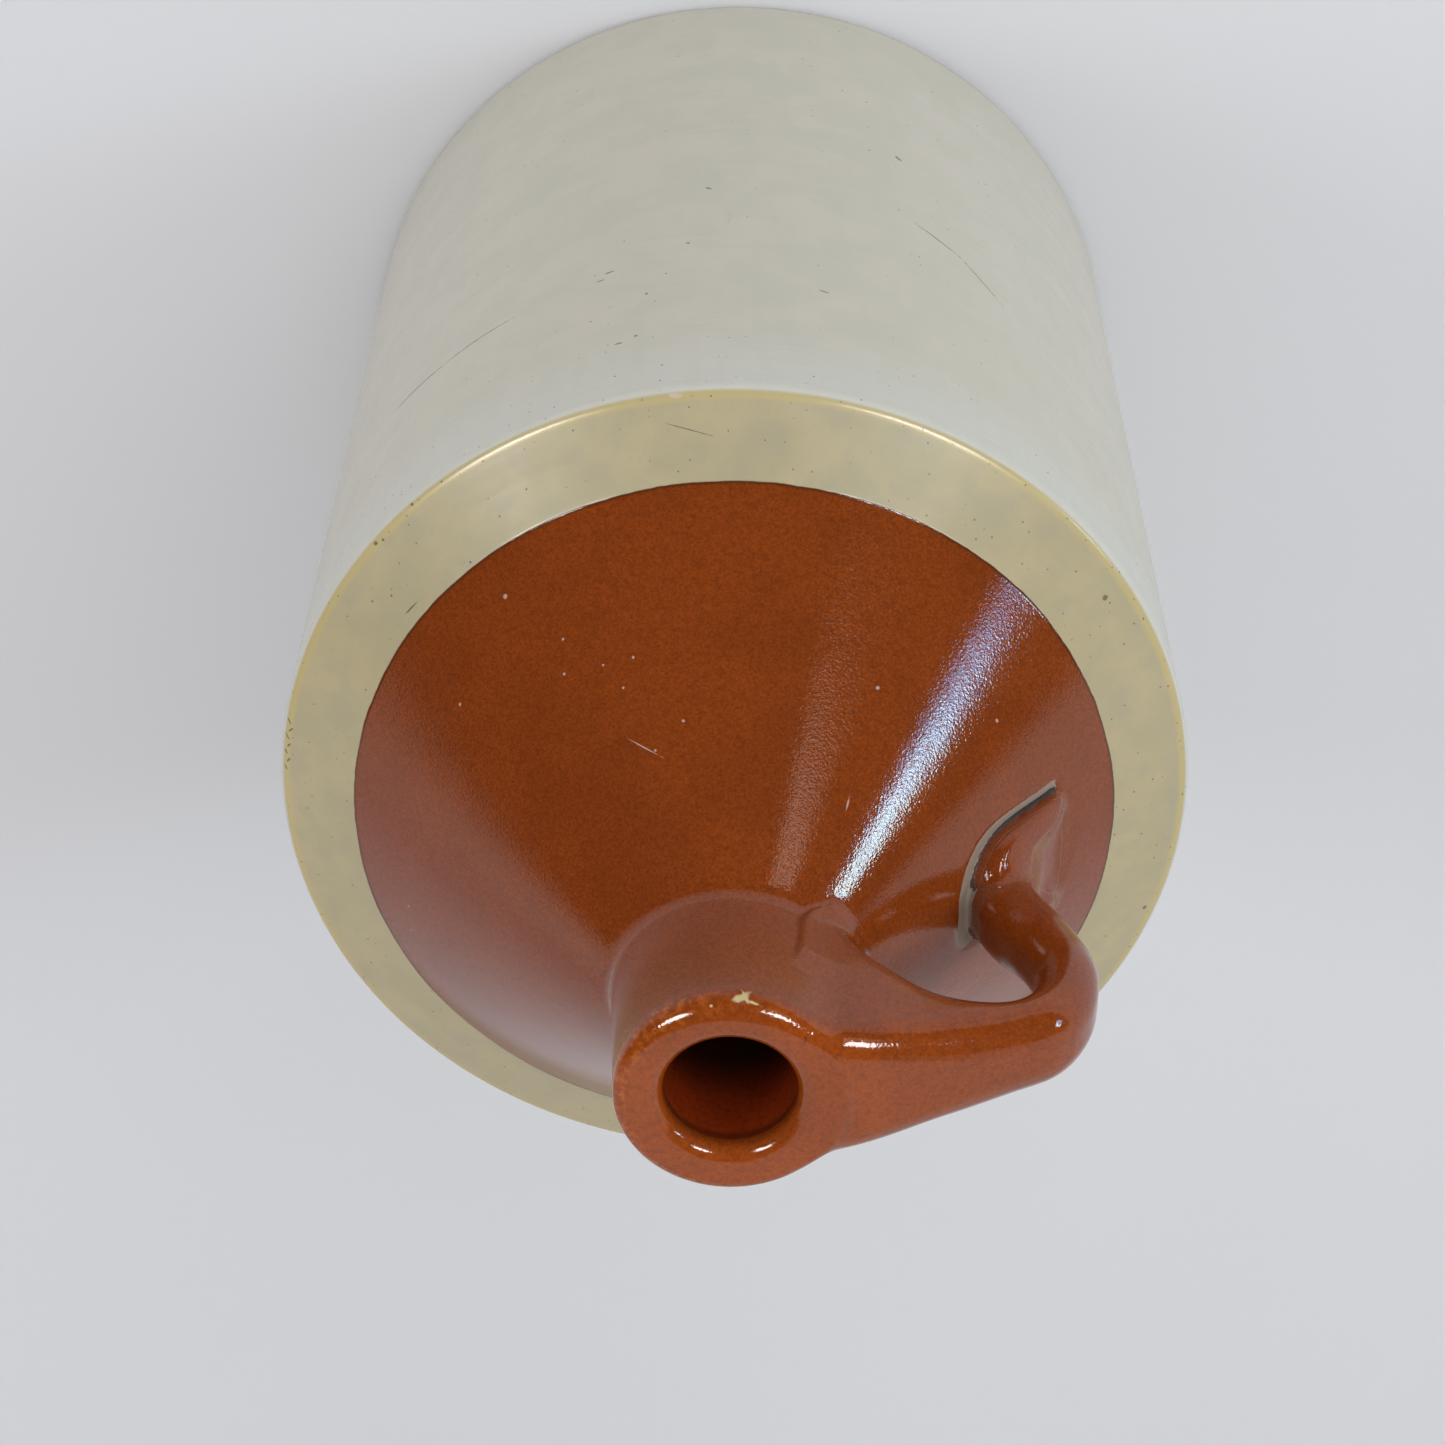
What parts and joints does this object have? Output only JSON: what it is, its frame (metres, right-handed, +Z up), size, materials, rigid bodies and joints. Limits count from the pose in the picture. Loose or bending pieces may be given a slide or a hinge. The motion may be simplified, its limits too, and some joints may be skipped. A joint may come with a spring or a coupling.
{
  "type": "stoneware whiskey jug",
  "caption": "Glazed stoneware jug with a straight cream body, a flat pale shoulder ledge, a brown cone, a short narrow neck and a pulled strap handle.",
  "frame": {"origin": "centre of the base, on the surface that the jug stands on", "axes": "+Z up along the axis of the body and the mouth, +X towards the handle"},
  "size_m": [0.172, 0.172, 0.2888],
  "materials": {
    "glazed_stoneware": "gloss"
  },
  "bodies": {
    "root": {"jug": "glazed_stoneware"}
  },
  "joints": []
}
